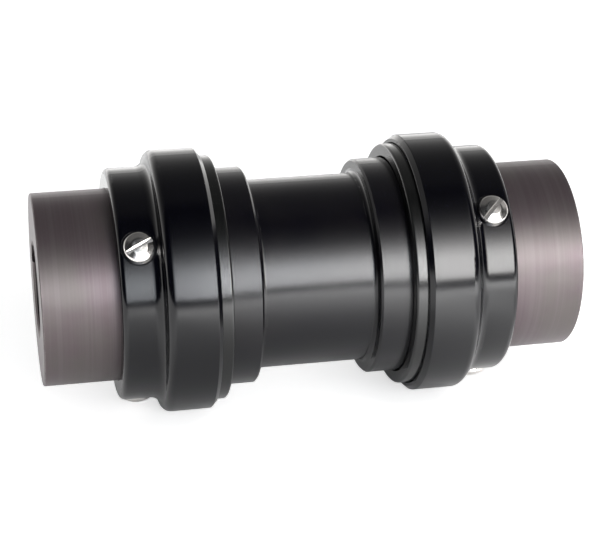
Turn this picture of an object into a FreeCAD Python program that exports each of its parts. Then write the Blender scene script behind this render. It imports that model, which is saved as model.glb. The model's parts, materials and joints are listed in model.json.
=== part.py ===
import FreeCAD, Part
import math
import os

# Flexible spacer coupling: two keyed hubs, two elastomer wraps held in place by screwed
# collars, and a drop-out spacer made of a tube and two jaw flanges.
# Millimetres. The shaft axis is X, +Z is up, the origin is the middle of the spacer.
# The right-hand end is modelled, and mirrored across the YZ plane for the left-hand end.
# Clock angles turn about X, from the -Y side (0) up towards +Z (90).

# Overall sizes
OVERALL_LENGTH = 284.0
SHAFT_GAP = 140.0
HUB_R = 50.8
JAW_R = 57.95
HUB_FACE_X = SHAFT_GAP / 2
HUB_END_X = OVERALL_LENGTH / 2

# Jaws and the room between the two sets
JAW_COUNT = 3
JAW_ROOM = 22.0
JAW_LENGTH = 20.0
JAW_INNER_R = 34.0
JAW_OUTER_R = JAW_R - 0.05
SPACER_FACE_X = HUB_FACE_X - JAW_ROOM
LEG_COUNT = 2 * JAW_COUNT
LEG_PITCH = 360.0 / LEG_COUNT
LEG_WIDTH = 16.0
LEG_SIDE_GAP = 0.25
LEG_END_GAP = 0.6
LEG_INNER_R = JAW_INNER_R + 1.5
LEG_TIP_ROUND = 3.0

# Hub: jaw flange, neck, keyed bore
HUB_FLANGE_R = JAW_OUTER_R
HUB_FLANGE_T = 8.0
HUB_FLANGE_BACK_X = HUB_FACE_X + HUB_FLANGE_T
HUB_EDGE = 0.5
BORE_R = 25.0
BORE_EDGE = 1.0
KEYWAY_WIDTH = 14.0
KEYWAY_TOP_R = 28.8
KEYWAY_CLOCK = 150.0
SIDE_SCREW_CLOCK = 240.0

# Spacer: tube and flanges
TUBE_R = 50.6
TUBE_BORE_R = 41.0
TUBE_END_X = 28.1
PRESS_OVERLAP = 0.02
SPIGOT_R = TUBE_BORE_R + PRESS_OVERLAP
SPIGOT_LENGTH = 12.0
FLANGE_FACE_X = 30.6
FLANGE_BORE_R = 30.0
FLANGE_EDGE = 1.0
NECK_FILLET = 2.45

# Elastomer wrap
BAND_INNER_R = JAW_R + 0.25
BAND_OUTER_R = 65.2
BAND_START_X = 47.1
BAND_END_X = HUB_FACE_X + 0.5
BAND_ROUND = 1.3
BAND_INNER_ROUND = 0.4
BAND_SPLIT = 1.2
BAND_SPLIT_CLOCK = 180.0

# Collar
COLLAR_START_X = 53.4
COLLAR_STEP_X = 80.2
COLLAR_FOOT_X = 82.4
COLLAR_END_X = 103.0
RING_R = 69.65
RING_BORE_R = 65.4
RING_CHAMFER = 2.3
RING_CHAMFER_ROUND = 0.4
RING_LIP_ROUND = 0.6
RING_BACK_ROUND = 4.8
NOSE_R = 61.35
NOSE_FOOT_ROUND = 5.5
NOSE_END_ROUND = 3.0
NOSE_BORE_ROUND = 0.8
POCKET_END_X = BAND_END_X + 0.5
SEAT_R = HUB_FLANGE_R + 0.2
SEAT_END_X = HUB_FLANGE_BACK_X + 0.05
COLLAR_BORE_R = HUB_R + 0.04

# Collar screws: M8 slotted pan heads, three to a collar
SCREW_COUNT = 3
SCREW_X = 92.2
SCREW_CLOCK_LEFT = 38.2
SCREW_CLOCK_RIGHT = 44.3
SLOT_TURN_LEFT = 26.0
SLOT_TURN_RIGHT = 44.0
THREAD_HOLE_R = 4.0
THREAD_CREST_R = 3.96
THREAD_ROOT_R = 3.45
THREAD_PITCH = 1.25
THREAD_CREST_START = 0.45 * THREAD_PITCH
THREAD_CREST_END = 0.55 * THREAD_PITCH
SCREW_TIP_R = HUB_R + 0.05
SPOT_FACE_R = 9.2
SPOT_SEAT_R = NOSE_R - 0.7
HEAD_R = 8.0
HEAD_HEIGHT = 4.8
HEAD_SIDE = 2.6
HEAD_ROUND = 1.8
CROWN_R = HEAD_R / 2
CROWN_DROP = 0.35
CROWN_ROUND = 4.0
SLOT_WIDTH = 2.2
SLOT_DEPTH = 2.1

# Hub set screws: M8 socket cup points
SET_SCREW_X = 133.5
SET_SCREW_LENGTH = 20.0
SET_SCREW_KEY_TIP_R = KEYWAY_TOP_R + 0.5
SET_SCREW_SIDE_TIP_R = BORE_R + 0.5
SET_SCREW_SIDE_LENGTH = 24.0
SOCKET_FLATS = 4.0
SOCKET_DEPTH = 5.0
CUP_R = 2.0
CUP_DEPTH = 0.8

ORIGIN = FreeCAD.Vector(0, 0, 0)
X_AXIS = FreeCAD.Vector(1, 0, 0)
Z_AXIS = FreeCAD.Vector(0, 0, 1)
FAR = 200.0


def rounded_wire(corners):
    """Closed wire in the XZ plane from (x, z, corner radius) triples."""
    points = [FreeCAD.Vector(x, 0, z) for x, z, _ in corners]
    joints = []
    for i, here in enumerate(points):
        radius = corners[i][2]
        before = (points[i - 1] - here).normalize()
        after = (points[(i + 1) % len(points)] - here).normalize()
        half = before.getAngle(after) / 2
        if radius == 0:
            joints.append((here, None, here))
            continue
        reach = radius / math.tan(half)
        middle = (before + after).normalize() * (radius / math.sin(half) - radius)
        joints.append((here + before * reach, here + middle, here + after * reach))
    edges = []
    for i, (start, middle, end) in enumerate(joints):
        edges.append(Part.makeLine(joints[i - 1][2], start))
        if middle:
            edges.append(Part.Arc(start, middle, end).toShape())
    return Part.Wire(edges)


def turned(corners, axis=X_AXIS):
    """Solid of revolution of a rounded outline about the X axis, or about Z for a screw."""
    return Part.Face(rounded_wire(corners)).revolve(ORIGIN, axis, 360)


def clocked(shape, clock):
    """Turns a shape whose own outward direction is +Z round the shaft axis to a clock angle."""
    copy = shape.copy()
    copy.rotate(ORIGIN, X_AXIS, 90 - clock)
    return copy


def mirrored(shape):
    return shape.mirror(ORIGIN, X_AXIS)


def radial_block(x_start, x_end, width, r_start, r_end):
    """Box centred on the XZ plane that reaches out along +Z."""
    corner = FreeCAD.Vector(x_start, -width / 2, r_start)
    return Part.makeBox(x_end - x_start, width, r_end - r_start, corner)


def radial_hole(x, radius):
    """Cylinder along +Z from the shaft axis outwards, for a screw hole."""
    return Part.makeCylinder(radius, FAR, FreeCAD.Vector(x, 0, 0))


def jaws(x_start, x_end, first_clock):
    """Three driving jaws: ring sectors with parallel-sided gaps between them for the legs."""
    ring = turned(
        [
            (x_start, JAW_INNER_R, 0),
            (x_end, JAW_INNER_R, 0),
            (x_end, JAW_OUTER_R, 0),
            (x_start, JAW_OUTER_R, 0),
        ]
    )
    gap_width = LEG_WIDTH + 2 * LEG_SIDE_GAP
    blank = radial_block(x_start, x_end, gap_width, 0, FAR)
    for i in range(LEG_COUNT):
        ring = ring.cut(clocked(blank, LEG_PITCH * (i + 0.5)))
    directions = [
        clocked(Part.makeLine(ORIGIN, Z_AXIS), first_clock + i * 360.0 / JAW_COUNT).Vertexes[1].Point
        for i in range(JAW_COUNT)
    ]
    return [
        sector for sector in ring.Solids
        if max(sector.CenterOfMass.dot(d) for d in directions) > JAW_INNER_R
    ]


def hub():
    body = turned(
        [
            (HUB_FACE_X, BORE_R + BORE_EDGE, 0),
            (HUB_FACE_X, HUB_FLANGE_R, 0),
            (HUB_FLANGE_BACK_X, HUB_FLANGE_R, 0),
            (HUB_FLANGE_BACK_X, HUB_R, 0),
            (HUB_END_X - HUB_EDGE, HUB_R, 0),
            (HUB_END_X, HUB_R - HUB_EDGE, 0),
            (HUB_END_X, BORE_R + BORE_EDGE, 0),
            (HUB_END_X - BORE_EDGE, BORE_R, 0),
            (HUB_FACE_X + BORE_EDGE, BORE_R, 0),
        ]
    )
    tip_x = HUB_FACE_X - JAW_LENGTH
    for jaw in jaws(tip_x, HUB_FACE_X, LEG_PITCH):
        body = body.fuse(jaw)
    keyway = radial_block(HUB_FACE_X, HUB_END_X, KEYWAY_WIDTH, 0, KEYWAY_TOP_R)
    body = body.cut(clocked(keyway, KEYWAY_CLOCK))
    for clock in (KEYWAY_CLOCK, SIDE_SCREW_CLOCK):
        body = body.cut(clocked(radial_hole(SET_SCREW_X, THREAD_HOLE_R), clock))
    return body.removeSplitter()


def spacer_tube():
    outer = Part.makeCylinder(TUBE_R, 2 * TUBE_END_X, FreeCAD.Vector(-TUBE_END_X, 0, 0), X_AXIS)
    bore = Part.makeCylinder(TUBE_BORE_R, 2 * TUBE_END_X, FreeCAD.Vector(-TUBE_END_X, 0, 0), X_AXIS)
    return outer.cut(bore)


def spacer_flange():
    """Jaw flange with a spigot pressed into the tube and a filleted neck against the tube's end."""
    body = turned(
        [
            (TUBE_END_X - SPIGOT_LENGTH, FLANGE_BORE_R, 0),
            (SPACER_FACE_X, FLANGE_BORE_R, 0),
            (SPACER_FACE_X, JAW_R, 0),
            (FLANGE_FACE_X + FLANGE_EDGE, JAW_R, 0),
            (FLANGE_FACE_X, JAW_R - FLANGE_EDGE, 0),
            (FLANGE_FACE_X, TUBE_R, NECK_FILLET),
            (TUBE_END_X, TUBE_R, 0),
            (TUBE_END_X, SPIGOT_R, 0),
            (TUBE_END_X - SPIGOT_LENGTH, SPIGOT_R, 0),
        ]
    )
    for jaw in jaws(SPACER_FACE_X, SPACER_FACE_X + JAW_LENGTH, 0):
        body = body.fuse(jaw)
    return body.removeSplitter()


def element():
    """Split elastomer band with six legs that reach in between the jaws."""
    body = turned(
        [
            (BAND_START_X, BAND_INNER_R, BAND_INNER_ROUND),
            (BAND_END_X, BAND_INNER_R, 0),
            (BAND_END_X, BAND_OUTER_R, BAND_ROUND),
            (BAND_START_X, BAND_OUTER_R, BAND_ROUND),
        ]
    )
    leg_start = SPACER_FACE_X + LEG_END_GAP
    leg_end = HUB_FACE_X - LEG_END_GAP
    leg_root = (BAND_INNER_R + BAND_OUTER_R) / 2
    leg = radial_block(leg_start, leg_end, LEG_WIDTH, LEG_INNER_R, leg_root)
    tip_edges = [
        e for e in leg.Edges
        if abs(e.CenterOfMass.z - LEG_INNER_R) < 0.01 and abs(e.CenterOfMass.y) > 1
    ]
    leg = leg.makeFillet(LEG_TIP_ROUND, tip_edges)
    for i in range(LEG_COUNT):
        body = body.fuse(clocked(leg, LEG_PITCH * (i + 0.5)))
    split = radial_block(BAND_START_X - 1, BAND_END_X + 1, BAND_SPLIT, 0, FAR)
    return body.cut(clocked(split, BAND_SPLIT_CLOCK)).removeSplitter()


def collar(first_clock):
    body = turned(
        [
            (COLLAR_START_X, RING_BORE_R, RING_LIP_ROUND),
            (COLLAR_START_X, RING_R - RING_CHAMFER, RING_CHAMFER_ROUND),
            (COLLAR_START_X + RING_CHAMFER, RING_R, RING_CHAMFER_ROUND),
            (COLLAR_STEP_X, RING_R, RING_BACK_ROUND),
            (COLLAR_FOOT_X, NOSE_R, NOSE_FOOT_ROUND),
            (COLLAR_END_X, NOSE_R, NOSE_END_ROUND),
            (COLLAR_END_X, COLLAR_BORE_R, NOSE_BORE_ROUND),
            (SEAT_END_X, COLLAR_BORE_R, 0),
            (SEAT_END_X, SEAT_R, 0),
            (POCKET_END_X, SEAT_R, 0),
            (POCKET_END_X, RING_BORE_R, 0),
        ]
    )
    spot_face = Part.makeCylinder(SPOT_FACE_R, FAR, FreeCAD.Vector(SCREW_X, 0, SPOT_SEAT_R))
    for i in range(SCREW_COUNT):
        clock = first_clock + i * 360.0 / SCREW_COUNT
        body = body.cut(clocked(radial_hole(SCREW_X, THREAD_HOLE_R), clock))
        body = body.cut(clocked(spot_face, clock))
    return body


def threaded_outline(tip, top):
    """Outline of a screw shank from its tip up: parallel thread ridges at the thread pitch."""
    ridges = int((top - tip) / THREAD_PITCH)
    start = top - ridges * THREAD_PITCH
    outline = [(0, tip, 0), (THREAD_ROOT_R, tip, 0), (THREAD_ROOT_R, start, 0)]
    for i in range(ridges):
        foot = start + i * THREAD_PITCH
        outline.append((THREAD_CREST_R, foot + THREAD_CREST_START, 0))
        outline.append((THREAD_CREST_R, foot + THREAD_CREST_END, 0))
        outline.append((THREAD_ROOT_R, foot + THREAD_PITCH, 0))
    return outline


def collar_screw(slot_turn):
    """Slotted pan-head screw, head outwards along +Z."""
    top = SPOT_SEAT_R + HEAD_HEIGHT
    shank = threaded_outline(SCREW_TIP_R, SPOT_SEAT_R)
    head = [
        (HEAD_R, SPOT_SEAT_R, 0),
        (HEAD_R, SPOT_SEAT_R + HEAD_SIDE, HEAD_ROUND),
        (CROWN_R, top - CROWN_DROP, CROWN_ROUND),
        (0, top, 0),
    ]
    screw = turned(shank + head, Z_AXIS)
    slot = radial_block(-HEAD_R, HEAD_R, SLOT_WIDTH, top - SLOT_DEPTH, top + 1)
    slot.rotate(ORIGIN, Z_AXIS, slot_turn)
    screw = screw.cut(slot)
    screw.translate(FreeCAD.Vector(SCREW_X, 0, 0))
    return screw


def set_screw(tip, length):
    """Socket set screw with a cup point, socket outwards along +Z."""
    top = tip + length
    outline = threaded_outline(tip, top)
    outline[0] = (0, tip + CUP_DEPTH, 0)
    outline.insert(1, (CUP_R, tip, 0))
    screw = turned(outline + [(0, top, 0)], Z_AXIS)
    corner_r = SOCKET_FLATS / math.sqrt(3)
    points = [
        FreeCAD.Vector(
            corner_r * math.cos(math.radians(60 * i)),
            corner_r * math.sin(math.radians(60 * i)),
            top - SOCKET_DEPTH,
        )
        for i in range(7)
    ]
    socket = Part.Face(Part.makePolygon(points)).extrude(FreeCAD.Vector(0, 0, SOCKET_DEPTH))
    screw = screw.cut(socket)
    screw.translate(FreeCAD.Vector(SET_SCREW_X, 0, 0))
    return screw


def all_nodes():
    """Every piece of the coupling by its node name."""
    nodes = {"spacer_tube": spacer_tube()}
    ends = (
        ("left", mirrored, SCREW_CLOCK_LEFT, -SLOT_TURN_LEFT),
        ("right", lambda shape: shape, SCREW_CLOCK_RIGHT, SLOT_TURN_RIGHT),
    )
    for side, placed, first_clock, slot_turn in ends:
        nodes["hub_" + side] = placed(hub())
        nodes["spacer_flange_" + side] = placed(spacer_flange())
        nodes["element_" + side] = placed(element())
        nodes["collar_" + side] = placed(collar(first_clock))
        for i in range(SCREW_COUNT):
            clock = first_clock + i * 360.0 / SCREW_COUNT
            name = "collar_screw_" + side + "_" + str(i + 1)
            nodes[name] = placed(clocked(collar_screw(slot_turn), clock))
        key_screw = set_screw(SET_SCREW_KEY_TIP_R, SET_SCREW_LENGTH)
        side_screw = set_screw(SET_SCREW_SIDE_TIP_R, SET_SCREW_SIDE_LENGTH)
        nodes["set_screw_" + side + "_keyway"] = placed(clocked(key_screw, KEYWAY_CLOCK))
        nodes["set_screw_" + side + "_side"] = placed(clocked(side_screw, SIDE_SCREW_CLOCK))
    return nodes


os.makedirs("parts", exist_ok=True)
for name, shape in all_nodes().items():
    shape.exportStep("parts/" + name + ".step")
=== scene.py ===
"""Looks for the flexible spacer shaft coupling: materials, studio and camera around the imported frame.

Metres, in the frame's own axes: the shaft axis is X and +Z is up.
"""

import json
import math

import bmesh
import bpy
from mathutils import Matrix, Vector


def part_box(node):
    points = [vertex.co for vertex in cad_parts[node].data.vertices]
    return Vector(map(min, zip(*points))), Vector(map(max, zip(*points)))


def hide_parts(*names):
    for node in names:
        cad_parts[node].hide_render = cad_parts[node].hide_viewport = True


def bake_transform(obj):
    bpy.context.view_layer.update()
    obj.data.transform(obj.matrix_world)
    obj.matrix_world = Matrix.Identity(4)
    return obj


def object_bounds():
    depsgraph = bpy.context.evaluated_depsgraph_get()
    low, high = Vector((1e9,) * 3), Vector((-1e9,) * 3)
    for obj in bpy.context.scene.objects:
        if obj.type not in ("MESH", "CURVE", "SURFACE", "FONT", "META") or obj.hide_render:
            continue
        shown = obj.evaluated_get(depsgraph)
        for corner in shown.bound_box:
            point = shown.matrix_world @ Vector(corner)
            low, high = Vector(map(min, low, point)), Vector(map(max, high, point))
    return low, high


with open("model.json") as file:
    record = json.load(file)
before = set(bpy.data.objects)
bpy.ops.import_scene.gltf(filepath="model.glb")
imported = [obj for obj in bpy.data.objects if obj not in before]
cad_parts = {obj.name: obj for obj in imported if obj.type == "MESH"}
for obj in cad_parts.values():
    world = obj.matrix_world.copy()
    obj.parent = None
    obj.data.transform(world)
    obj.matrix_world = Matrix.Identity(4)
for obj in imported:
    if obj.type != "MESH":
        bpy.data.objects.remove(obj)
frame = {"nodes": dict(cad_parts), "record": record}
CAD_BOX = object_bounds()

MM = 0.001
LOWEST = CAD_BOX[0].z
LENGTH = CAD_BOX[1].x - CAD_BOX[0].x
WHITE = (1.0, 1.0, 1.0, 1)

# Camera: where it stands, what it looks at, its lens, the sensor's width in millimetres, and its near limit
CAMERA_PLACE = Vector((-0.1791, -0.8704, 0.3538))
CAMERA_TARGET = Vector((-0.0006, 0.0, -0.0053))
CAMERA_LENS = 106.35
CAMERA_SENSOR = 36.0
CAMERA_NEAR = 0.05

# Lamps: the side of the square, the power in watts, the place, and the angle of the beam
OVERHEAD_FILL = {"size": 2.2, "energy": 6.0, "place": (0.0, 0.35, 1.6), "beam": math.pi}
FRONT_WASH = {"size": 0.5, "energy": 11.0, "place": (0.42, -0.66, 0.55), "beam": math.radians(95)}

# The studio round the object, as it stands for the main camera. A direction is a unit vector, with x along
# the shaft, y away from the front and z up. A pair is where a zone starts and where it is full. The panel's
# profile is its brightness along x. Above PANEL_TOP it fades like the side of a bell PANEL_FADE wide.
PANEL_GLOW = 13.0
PANEL_BOTTOM = (0.05, 0.085)
PANEL_TOP = 0.31
PANEL_FADE = 0.19
PANEL_FRONT = (-0.1, 0.3)
PANEL_PROFILE = (
    (-0.30, 0.00),
    (0.00, 0.40),
    (0.09, 0.36),
    (0.11, 0.08),
    (0.147, 0.06),
    (0.152, 3.40),
    (0.162, 3.40),
    (0.167, 0.26),
    (0.21, 0.32),
    (0.240, 0.66),
    (0.248, 0.76),
    (0.252, 3.20),
    (0.256, 3.20),
    (0.260, 0.76),
    (0.28, 0.80),
    (0.33, 1.18),
    (0.44, 1.05),
    (0.60, 0.00),
)
COOL_TO_NEUTRAL = (0.05, 0.30)
COOL_TINT = (0.92, 0.97, 1.04, 1)
WARM_WHITE = (1.0, 0.99, 0.975, 1)
BACK_GLOW = 2.7
BACK_FALL = 3.6
BACK_START = (-0.15, 0.12)
CEILING_GLOW = 0.015
BACKDROP_WHITE = 1.0

# The floor: how far it reaches, its own even glow for the camera, and a painted glow that only shiny surfaces
# see, standing in for the floor's reflection, which starts a little way out and follows a profile along X
FLOOR_REACH = 20 * LENGTH
FLOOR_LIFT = 0.62
FLOOR_REFLECTION_GLOW_REACH = (0.085, 0.26)
FLOOR_REFLECTION_GLOW_PROFILE = (
    (-0.30, 0.90),
    (-0.12, 0.85),
    (-0.09, 0.35),
    (-0.04, 0.30),
    (0.00, 1.20),
    (0.09, 1.50),
    (0.13, 1.75),
    (0.16, 1.30),
    (0.19, 0.40),
    (0.40, 0.30),
)
PAPER_DARK = (0.86, 0.86, 0.86, 1)
PAPER_PALE = (0.89, 0.89, 0.89, 1)

# Colours of the finishes, in linear light
OXIDE_PURPLE = (0.112, 0.088, 0.095, 1)
OXIDE_BROWN = (0.118, 0.104, 0.101, 1)
OXIDE_PALE = (0.150, 0.128, 0.133, 1)
BARE_IRON = (0.34, 0.31, 0.30, 1)
ENAMEL_BLACK = (0.0009, 0.0009, 0.0022, 1)
ENAMEL_DUST = (0.005, 0.005, 0.006, 1)
ENAMEL_RUBBED = (0.06, 0.056, 0.052, 1)
PAINT_BLACK = (0.0018, 0.0016, 0.0034, 1)
PAINT_CLOUDED = (0.0040, 0.0034, 0.0046, 1)
PAINT_RUBBED = (0.07, 0.066, 0.062, 1)
RUBBER_DARK = (0.0030, 0.0032, 0.0034, 1)
RUBBER_PALE = (0.0060, 0.0061, 0.0060, 1)
RUBBER_BLOOM = (0.020, 0.020, 0.020, 1)
ZINC_WARM = (0.78, 0.75, 0.72, 1)
ZINC_PALE = (0.90, 0.88, 0.86, 1)
BLACK_OXIDE = (0.030, 0.030, 0.034, 1)
BLACK_OXIDE_WORN = (0.060, 0.058, 0.056, 1)

# Worn edges: 1 less the cosine of an edge's turn within the wear's radius, and the level of the grain. Each
# pair is where wear starts and where it is full. The angle of the scratches is in radians.
WEAR_BEND = (0.004, 0.09)
WEAR_GRAIN = (0.40, 0.62)
WEAR_SAMPLES = 4
SCRATCH_ANGLE = 0.7

# Elastomer wraps: edge rounds, mould marks, the split at the back, and the drafted legs
SHARP_ANGLE = math.radians(35)
CORNER_STEPS = 6
LEAD = 0.12 * MM
BAND_STEPS = 180
BAND_EDGE = 1.3 * MM
BAND_INNER_EDGE = 0.4 * MM
BAND_THICKNESS = 6.6 * MM
SPLIT_GAP = 1.2 * MM
SPLIT_EASE = 0.35 * MM
PARTING_RISE = 0.12 * MM
PARTING_WIDTH = 0.6 * MM
LEG_COUNT = 6
LEG_WIDTH = 13.2 * MM
LEG_INSET = 2.7 * MM
LEG_CORNER = 1.6 * MM
LEG_TIP = 3.0 * MM
LEG_TIP_STEPS = 6
LEG_TIP_R = 35.5 * MM
LEG_DRAFT = 0.012

# The Mix node has sockets that share a name, so they go by number
MIX_FACTOR = 0
MIX_A, MIX_B = 2, 3
MIX_COLOUR_A, MIX_COLOUR_B = 6, 7
MIX_COLOUR_RESULT = 2


class Graph:
    """A node tree built by calls: add() makes one node and returns one of its output sockets."""

    def __init__(self, tree):
        self.tree = tree
        tree.nodes.clear()

    def add(self, kind, inputs=None, output=0, **settings):
        node = self.tree.nodes.new(kind)
        for key, value in settings.items():
            setattr(node, key, value)
        for key, value in (inputs or {}).items():
            if isinstance(value, bpy.types.NodeSocket):
                self.tree.links.new(value, node.inputs[key])
            else:
                node.inputs[key].default_value = value
        return node.outputs[output] if node.outputs else None

    def math(self, operation, a, b=0.0):
        return self.add("ShaderNodeMath", {0: a, 1: b}, operation=operation)

    def plus(self, a, b):
        return self.math("ADD", a, b)

    def times(self, a, b):
        return self.math("MULTIPLY", a, b)

    def weighted(self, a, weight, b):
        """That weight of a, and the rest of b."""
        return self.plus(self.times(a, weight), self.times(b, 1.0 - weight))

    def smooth(self, value, low, high):
        """0 below low, 1 above high, and a smooth step between them."""
        ends = {"Value": value, "From Min": low, "From Max": high}
        return self.add("ShaderNodeMapRange", ends, interpolation_type="SMOOTHSTEP")

    def spread(self, value, low, high):
        """A 0 to 1 value spread over low to high."""
        ends = {"Value": value, "To Min": low, "To Max": high}
        return self.add("ShaderNodeMapRange", ends)

    def profile(self, value, stops):
        """A piecewise value from (position, level) stops."""
        first, last = stops[0][0], stops[-1][0]
        ends = {"Value": value, "From Min": first, "From Max": last}
        along = self.add("ShaderNodeMapRange", ends)
        peak = max(level for _, level in stops)
        node = self.add("ShaderNodeValToRGB", {"Fac": along}).node
        ramp = node.color_ramp
        for position, _ in stops[1:-1]:
            ramp.elements.new((position - first) / (last - first))
        for element, (_, level) in zip(ramp.elements, stops):
            element.color = (level / peak,) * 3 + (1.0,)
        return self.times(node.outputs["Color"], peak)

    def noise(self, vector, scale, detail, roughness=0.5):
        settings = {"Vector": vector, "Scale": scale, "Detail": detail, "Roughness": roughness}
        return self.add("ShaderNodeTexNoise", settings)

    def mix(self, factor, a, b):
        """Colour a where factor is 0, and colour b where it is 1."""
        inputs = {MIX_FACTOR: factor, MIX_COLOUR_A: a, MIX_COLOUR_B: b}
        return self.add("ShaderNodeMix", inputs, output=MIX_COLOUR_RESULT, data_type="RGBA")

    def over(self, base, colour, where, strength):
        """Colour laid over the base at that strength, where the mask is 1."""
        return self.mix(self.times(where, strength), base, colour)

    def place(self):
        """The point's place in the object's own axes, which are the frame's."""
        return self.add("ShaderNodeTexCoord", output="Object")

    def split(self, vector):
        node = self.add("ShaderNodeSeparateXYZ", {"Vector": vector}).node
        return node.outputs["X"], node.outputs["Y"], node.outputs["Z"]

    def dot(self, a, b):
        inputs = {0: a, 1: b}
        return self.add("ShaderNodeVectorMath", inputs, output="Value", operation="DOT_PRODUCT")

    def lathe_vector(self, along, around):
        """Coordinates for turning marks: fast along the turned profile, slow round the axis."""
        x, y, z = self.split(self.place())
        radius = self.math("SQRT", self.plus(self.math("POWER", y, 2.0), self.math("POWER", z, 2.0)))
        axes = {
            "X": self.times(self.plus(x, radius), along),
            "Y": self.times(y, around),
            "Z": self.times(z, around),
        }
        return self.add("ShaderNodeCombineXYZ", axes)

    def turned_marks(self, along, around, detail=2.0, roughness=0.5):
        """Tool marks from turning, as noise stretched round the axis."""
        return self.noise(self.lathe_vector(along, around), 1.0, detail, roughness)

    def edge_wear(self, radius, grain):
        """1 on sharp outer edges that grain has rubbed bare, and 0 elsewhere."""
        soft = self.add("ShaderNodeBevel", {"Radius": radius}, samples=WEAR_SAMPLES)
        sharp = self.add("ShaderNodeNewGeometry", output="Normal")
        bend = self.math("SUBTRACT", 1.0, self.dot(soft, sharp))
        return self.times(self.smooth(bend, *WEAR_BEND), self.smooth(grain, *WEAR_GRAIN))

    def bump(self, height, distance, strength):
        inputs = {"Height": height, "Distance": distance, "Strength": strength}
        return self.add("ShaderNodeBump", inputs)


def surface(name, paint):
    """A new material whose Principled inputs are the dict that paint(graph) returns."""
    material = bpy.data.materials.new(name)
    material.use_nodes = True
    graph = Graph(material.node_tree)
    shader = graph.add("ShaderNodeBsdfPrincipled", paint(graph))
    graph.add("ShaderNodeOutputMaterial", {"Surface": shader})
    return material


def hub_iron(g):
    """Satin turned iron: a purple-grey oxide in soft patches, faint tool marks, and paler worn edges."""
    patch = g.noise(g.place(), scale=30.0, detail=4.0, roughness=0.55)
    spot = g.noise(g.place(), scale=140.0, detail=3.0)
    streak = g.turned_marks(along=700.0, around=5.0, detail=3.0, roughness=0.6)
    fine = g.turned_marks(along=5200.0, around=14.0)
    facing = g.turned_marks(along=210.0, around=2.0)
    oxide = g.mix(g.smooth(patch, low=0.36, high=0.66), OXIDE_PURPLE, OXIDE_BROWN)
    oxide = g.over(oxide, OXIDE_PALE, where=g.smooth(streak, low=0.45, high=0.80), strength=0.5)
    oxide = g.over(oxide, OXIDE_PALE, where=g.smooth(facing, low=0.42, high=0.66), strength=0.35)
    wear = g.edge_wear(radius=0.5 * MM, grain=spot)
    return {
        "Base Color": g.over(oxide, BARE_IRON, where=wear, strength=0.7),
        "Metallic": 0.68,
        "Roughness": g.spread(g.weighted(patch, 0.7, fine), low=0.34, high=0.50),
        "Normal": g.bump(g.weighted(streak, 0.4, fine), distance=0.010 * MM, strength=0.4),
    }


def collar_black(g):
    """Deep gloss black enamel with faint orange peel, a little dust and rubbed edges."""
    peel = g.noise(g.place(), scale=230.0, detail=2.0, roughness=0.4)
    dust = g.noise(g.place(), scale=1400.0, detail=3.0, roughness=0.6)
    cloud = g.noise(g.place(), scale=45.0, detail=3.0)
    colour = g.mix(g.smooth(dust, low=0.60, high=0.86), ENAMEL_BLACK, ENAMEL_DUST)
    wear = g.edge_wear(radius=0.35 * MM, grain=g.noise(g.place(), scale=180.0, detail=3.0))
    return {
        "Base Color": g.over(colour, ENAMEL_RUBBED, where=wear, strength=0.5),
        "Roughness": g.spread(cloud, low=0.10, high=0.20),
        "Specular IOR Level": 0.5,
        "Normal": g.bump(peel, distance=0.05 * MM, strength=0.2),
    }


def spacer_black(g):
    """Semi-gloss black over turned steel: the turning marks show through as fine rings."""
    rings = g.turned_marks(along=1100.0, around=1.5)
    fine = g.turned_marks(along=4600.0, around=4.0)
    cloud = g.noise(g.place(), scale=32.0, detail=4.0, roughness=0.55)
    colour = g.mix(g.smooth(cloud, low=0.35, high=0.70), PAINT_BLACK, PAINT_CLOUDED)
    wear = g.edge_wear(radius=0.4 * MM, grain=g.noise(g.place(), scale=150.0, detail=3.0))
    return {
        "Base Color": g.over(colour, PAINT_RUBBED, where=wear, strength=0.5),
        "Roughness": g.spread(g.weighted(cloud, 0.5, rings), low=0.14, high=0.30),
        "Specular IOR Level": 0.55,
        "Normal": g.bump(g.weighted(rings, 0.6, fine), distance=0.02 * MM, strength=0.2),
    }


def element_rubber(g):
    """Moulded black elastomer: a smooth skin off a polished mould, with a faint bloom and fine pebbling."""
    grain = g.noise(g.place(), scale=900.0, detail=4.0, roughness=0.6)
    cloud = g.noise(g.place(), scale=70.0, detail=3.0)
    bloom = g.noise(g.place(), scale=24.0, detail=4.0, roughness=0.6)
    bloomed = g.smooth(bloom, low=0.55, high=0.80)
    colour = g.mix(cloud, RUBBER_DARK, RUBBER_PALE)
    return {
        "Base Color": g.over(colour, RUBBER_BLOOM, where=bloomed, strength=0.4),
        "Roughness": g.spread(g.weighted(grain, 0.4, cloud), low=0.12, high=0.22),
        "Specular IOR Level": 0.62,
        "Normal": g.bump(grain, distance=0.05 * MM, strength=0.25),
    }


def screw_zinc(g):
    """Bright zinc plate with fine scratches and a warm haze."""
    haze = g.noise(g.place(), scale=420.0, detail=3.0)
    slanted = g.add("ShaderNodeVectorRotate", {"Vector": g.place(), "Angle": SCRATCH_ANGLE})
    scratch = g.noise(slanted, scale=2600.0, detail=2.0)
    return {
        "Base Color": g.mix(haze, ZINC_WARM, ZINC_PALE),
        "Metallic": 1.0,
        "Roughness": g.spread(haze, low=0.14, high=0.30),
        "Normal": g.bump(scratch, distance=0.01 * MM, strength=0.4),
    }


def set_screw_black(g):
    """Black-oxide steel."""
    cloud = g.noise(g.place(), scale=600.0, detail=3.0)
    return {
        "Base Color": g.mix(cloud, BLACK_OXIDE, BLACK_OXIDE_WORN),
        "Metallic": 0.8,
        "Roughness": g.spread(cloud, low=0.30, high=0.45),
        "Normal": g.bump(cloud, distance=0.01 * MM, strength=0.4),
    }


FINISHES = (hub_iron, collar_black, spacer_black, element_rubber, screw_zinc, set_screw_black)


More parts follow.
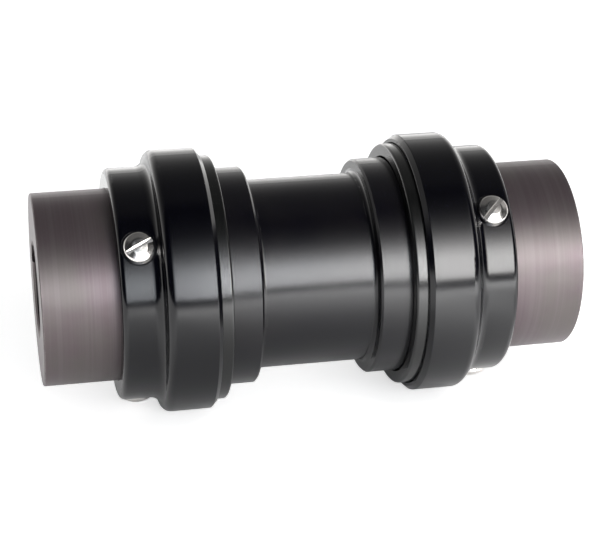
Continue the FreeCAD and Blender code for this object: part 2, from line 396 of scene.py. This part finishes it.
def finish_nodes():
    """Every CAD node takes the material of its slot in the record; returns the materials by name."""
    made = {paint.__name__: surface(paint.__name__, paint) for paint in FINISHES}
    for part in frame["record"]["subparts"]:
        mesh = frame["nodes"][part["node"]].data
        mesh.materials.clear()
        mesh.materials.append(made[part["material_slot"]])
    return made


def arc(centre, radius, start, end, steps=CORNER_STEPS):
    """Points on a circular arc in a plane, angles in degrees."""
    angles = [math.radians(start + (end - start) * i / steps) for i in range(steps + 1)]
    return [(centre[0] + radius * math.cos(a), centre[1] + radius * math.sin(a)) for a in angles]


def corner(centre, radius, start):
    """A quarter arc with a short straight lead at each end, which keeps the flat faces beside it flat."""
    points = arc(centre, radius, start, start + 90)
    turn_in, turn_out = math.radians(start), math.radians(start + 90)
    lead_in = (points[0][0] + LEAD * math.sin(turn_in), points[0][1] - LEAD * math.cos(turn_in))
    lead_out = (points[-1][0] - LEAD * math.sin(turn_out), points[-1][1] + LEAD * math.cos(turn_out))
    return [lead_in] + points + [lead_out]


def band_section(x_start, x_end, r_inner, r_outer):
    """Outline of the band in (x, radius): rounded corners, and a parting ridge half way along."""
    middle = (x_start + x_end) / 2
    half = PARTING_WIDTH / 2
    inner, edge = BAND_INNER_EDGE, BAND_EDGE
    ridge = [(half + LEAD, 0.0), (half, 0.0), (0.0, PARTING_RISE), (-half, 0.0), (-half - LEAD, 0.0)]
    outline = corner((x_end - inner, r_inner + inner), inner, -90)
    outline += corner((x_end - edge, r_outer - edge), edge, 0)
    outline += [(middle + along, r_outer + rise) for along, rise in ridge]
    outline += corner((x_start + edge, r_outer - edge), edge, 90)
    outline += corner((x_start + inner, r_inner + inner), inner, 180)
    return outline


def band_turns(lip, ease):
    """Angles of the band's sections from lip to lip of the split, closer together at the lips."""
    near = [lip, lip + ease / 4, lip + ease]
    sweep = 2 * math.pi - 2 * (lip + ease)
    round_about = [lip + ease + sweep * i / BAND_STEPS for i in range(1, BAND_STEPS)]
    far = [2 * math.pi - turn for turn in reversed(near)]
    return near + round_about + far


def drawn_in(value, mean, shrink):
    """The value moved towards the mean by shrink, and no further than the mean."""
    return value - math.copysign(min(shrink, abs(value - mean)), value - mean)


def band_rings(section):
    """The section swept round the shaft from one lip of the split, at the back, to the other."""
    mean_x = sum(x for x, _ in section) / len(section)
    mean_r = sum(r for _, r in section) / len(section)
    lip = SPLIT_GAP / 2 / mean_r
    ease = SPLIT_EASE / mean_r
    rings = []
    for turn in band_turns(lip, ease):
        from_lip = min(turn, 2 * math.pi - turn) - lip
        depth = max(0.0, 1.0 - from_lip / ease)
        shrink = SPLIT_EASE * (1.0 - math.sqrt(max(0.0, 1.0 - depth * depth)))
        ring = []
        for x, r in section:
            r = drawn_in(r, mean_r, shrink)
            ring.append((drawn_in(x, mean_x, shrink), r * math.cos(turn), r * math.sin(turn)))
        rings.append(ring)
    return rings


def leg_heights(r_tip, r_root):
    """(radius, inset) pairs up a leg: a quarter round at the tip, then straight to the root."""
    turns = [math.radians(90 * i / LEG_TIP_STEPS) for i in range(LEG_TIP_STEPS + 1)]
    rounded = [(r_tip + LEG_TIP * (1 - math.cos(turn)), LEG_TIP * (1 - math.sin(turn))) for turn in turns]
    return rounded + [(r_root, 0.0)]


def leg_rings(x_start, x_end, r_tip, r_root, clock):
    """A leg as rounded rectangles stacked from its rounded tip out to its root in the band."""
    middle = (x_start + x_end) / 2
    outward = Vector((0.0, -math.cos(clock), math.sin(clock)))
    sideways = Vector((0.0, math.sin(clock), math.cos(clock)))
    rings = []
    for height, inset in leg_heights(r_tip, r_root):
        half_x = (x_end - x_start) / 2 - min(inset, LEG_CORNER)
        half_w = LEG_WIDTH / 2 - inset - LEG_DRAFT * (r_root - height)
        ring = []
        for sign_x, sign_w, start in ((1, 1, 0), (-1, 1, 90), (-1, -1, 180), (1, -1, 270)):
            centre = (sign_x * (half_x - LEG_CORNER), sign_w * (half_w - LEG_CORNER))
            for along, across in arc(centre, LEG_CORNER, start, start + 90):
                ring.append(Vector((middle + along, 0.0, 0.0)) + outward * height + sideways * across)
        rings.append(ring)
    return rings


def loft(mesh, rings):
    """Joins equal rings of points into one closed skin with a cap at each end."""
    rows = [[mesh.verts.new(point) for point in ring] for ring in rings]
    count = len(rows[0])
    for low, high in zip(rows, rows[1:]):
        for i in range(count):
            j = (i + 1) % count
            mesh.faces.new((low[i], low[j], high[j], high[i]))
    mesh.faces.new(rows[0][::-1])
    mesh.faces.new(rows[-1])


def skin(name, rings_of_parts):
    """A mesh object of closed lofted skins with outward normals."""
    build = bmesh.new()
    for rings in rings_of_parts:
        loft(build, rings)
    bmesh.ops.recalc_face_normals(build, faces=build.faces)
    mesh = bpy.data.meshes.new(name)
    build.to_mesh(mesh)
    build.free()
    obj = bpy.data.objects.new(name, mesh)
    bpy.context.scene.collection.objects.link(obj)
    return obj


def fuse(piece, other):
    """Joins other into piece as one skin, and removes other."""
    join = piece.modifiers.new("join", "BOOLEAN")
    join.operation = "UNION"
    join.solver = "EXACT"
    join.object = other
    shape = bpy.data.meshes.new_from_object(piece.evaluated_get(bpy.context.evaluated_depsgraph_get()))
    piece.modifiers.clear()
    piece.data = shape
    bpy.data.objects.remove(other)


def element_shape(side):
    """The wrap of one end: a split band with six legs grown from its inside."""
    low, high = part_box("element_" + side)
    r_outer = high.z
    r_inner = r_outer - BAND_THICKNESS
    r_root = (r_inner + r_outer) / 2
    leg_start, leg_end = low.x + LEG_INSET, high.x - LEG_INSET
    clocks = [math.radians(360.0 / LEG_COUNT * (i + 0.5)) for i in range(LEG_COUNT)]
    section = band_section(low.x, high.x, r_inner, r_outer)
    band = skin("elastomer_wrap_" + side, [band_rings(section)])
    legs = skin("legs", [leg_rings(leg_start, leg_end, LEG_TIP_R, r_root, clock) for clock in clocks])
    fuse(band, legs)
    band.data.shade_smooth()
    band.data.set_sharp_from_angle(angle=SHARP_ANGLE)
    return band


def moulded_element(side, rubber):
    """The elastomer wrap of one end, in place of its CAD node."""
    node = "element_" + side
    band = element_shape(side)
    band.data.materials.clear()
    band.data.materials.append(rubber)
    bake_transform(band)
    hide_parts(node)


def camera_turn():
    """Rotation of the main camera: its columns are the camera's right, up and backward directions."""
    return (CAMERA_TARGET - CAMERA_PLACE).to_track_quat("-Z", "Y").to_matrix()


def studio_direction(g):
    """x, y and z of a ray's direction, as the main camera has it. Any other camera takes the studio along."""
    direction = g.add("ShaderNodeTexCoord", output="Camera")
    return [g.dot(direction, (right, up, -back)) for right, up, back in camera_turn()]


def panel_light(g, x, front, z):
    """The wide soft panel in front, with its upper edge faded like the side of a bell."""
    above = g.math("DIVIDE", g.math("MAXIMUM", g.math("SUBTRACT", z, PANEL_TOP), 0.0), PANEL_FADE)
    fade = g.math("EXPONENT", g.times(g.math("POWER", above, 2.0), -0.5))
    panel = g.times(g.times(fade, g.smooth(z, *PANEL_BOTTOM)), front)
    return g.times(g.times(panel, g.profile(x, PANEL_PROFILE)), PANEL_GLOW)


def back_light(g, y, z):
    """The pale background behind the object, brightest at the horizon."""
    low = g.math("EXPONENT", g.times(g.math("MAXIMUM", z, 0.0), -BACK_FALL))
    return g.times(g.times(low, g.smooth(y, *BACK_START)), BACK_GLOW)


def studio_sky():
    """World light: a panel in front, a pale background, a dark ceiling, and plain white for the camera.

    The studio turns with the camera, as if the object stood on a turntable, so every side is lit alike.
    """
    world = bpy.data.worlds.new("studio")
    bpy.context.scene.world = world
    world.use_nodes = True
    g = Graph(world.node_tree)
    x, y, z = studio_direction(g)
    front = g.smooth(g.times(y, -1.0), *PANEL_FRONT)
    glow = g.plus(g.plus(panel_light(g, x, front, z), back_light(g, y, z)), CEILING_GLOW)
    seen = g.add("ShaderNodeLightPath", output="Is Camera Ray")
    levels = {MIX_FACTOR: seen, MIX_A: glow, MIX_B: BACKDROP_WHITE}
    strength = g.add("ShaderNodeMix", levels, data_type="FLOAT")
    cool = g.times(front, g.math("SUBTRACT", 1.0, g.smooth(x, *COOL_TO_NEUTRAL)))
    tint = g.mix(seen, g.mix(cool, WARM_WHITE, COOL_TINT), WHITE)
    background = g.add("ShaderNodeBackground", {"Color": tint, "Strength": strength})
    g.add("ShaderNodeOutputWorld", {"Surface": background})


def floor_white(g):
    """Pale matt paper, lifted evenly for the camera, with a painted glow further out that only shiny surfaces
    see, as a painted reflection.
    """
    haze = g.noise(g.place(), scale=3.0, detail=2.0)
    away = g.add("ShaderNodeVectorMath", {0: g.place()}, output="Value", operation="LENGTH")
    # Painted reflection: the floor glows only for glossy rays, out from the object and along the X profile
    reflection_glow = g.add("ShaderNodeLightPath", output="Is Glossy Ray")
    reflection_glow = g.times(reflection_glow, g.smooth(away, *FLOOR_REFLECTION_GLOW_REACH))
    reflection_glow = g.times(reflection_glow, g.profile(g.split(g.place())[0], FLOOR_REFLECTION_GLOW_PROFILE))
    seen = g.times(g.add("ShaderNodeLightPath", output="Is Camera Ray"), FLOOR_LIFT)
    return {
        "Base Color": g.mix(haze, PAPER_DARK, PAPER_PALE),
        "Roughness": 0.9,
        "Specular IOR Level": 0.0,
        "Emission Color": WHITE,
        "Emission Strength": g.plus(seen, reflection_glow),
    }


def floor():
    """A wide pale floor that the collars stand on."""
    signs = ((-1, -1), (1, -1), (1, 1), (-1, 1))
    corners = [(x * FLOOR_REACH, y * FLOOR_REACH, LOWEST) for x, y in signs]
    mesh = bpy.data.meshes.new("floor")
    mesh.from_pydata(corners, [], [(0, 1, 2, 3)])
    mesh.materials.append(surface("floor_white", floor_white))
    plane = bpy.data.objects.new("floor", mesh)
    bpy.context.scene.collection.objects.link(plane)


def lamp(name, size, energy, place, beam):
    """A square lamp that points straight down and doesn't show in shiny surfaces."""
    data = bpy.data.lights.new(name, "AREA")
    data.size = size
    data.energy = energy
    data.spread = beam
    obj = bpy.data.objects.new(name, data)
    obj.location = place
    obj.visible_glossy = False
    obj.visible_camera = False
    bpy.context.scene.collection.objects.link(obj)


def camera():
    """The main camera, made the scene's camera."""
    data = bpy.data.cameras.new("camera")
    data.lens = CAMERA_LENS
    data.sensor_width = CAMERA_SENSOR
    data.clip_start = CAMERA_NEAR
    obj = bpy.data.objects.new("camera", data)
    obj.location = CAMERA_PLACE
    obj.rotation_euler = camera_turn().to_euler()
    bpy.context.scene.collection.objects.link(obj)
    bpy.context.scene.camera = obj


finishes = finish_nodes()
for side in ("left", "right"):
    moulded_element(side, finishes["element_rubber"])
studio_sky()
floor()
lamp("overhead_fill", **OVERHEAD_FILL)
lamp("front_wash", **FRONT_WASH)
camera()
bpy.context.scene.view_settings.view_transform = "Standard"
